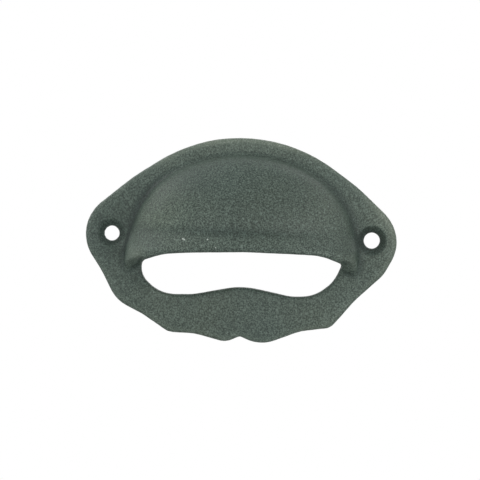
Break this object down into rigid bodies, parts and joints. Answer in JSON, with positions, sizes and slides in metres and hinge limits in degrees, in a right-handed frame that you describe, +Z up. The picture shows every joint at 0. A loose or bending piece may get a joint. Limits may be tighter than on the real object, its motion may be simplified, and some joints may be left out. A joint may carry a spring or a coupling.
{
  "type": "cup pull",
  "caption": "Cast cup pull: a flared half-bell finger cup on a flat plate with a wavy outline, a finger slot under the lip and countersunk screw ears.",
  "frame": {"origin": "midway between the two screw holes, on the flat back face", "axes": "+X to the right as seen from the front, +Z up towards the crown, +Y out of the flat back face into the drawer front; the cup stands out towards -Y"},
  "size_m": [0.1016, 0.0224, 0.0667],
  "materials": {
    "cast_metal": "satin grey-green finish on a sand-cast surface"
  },
  "bodies": {
    "root": {"cup_pull": "cast_metal"}
  },
  "joints": []
}
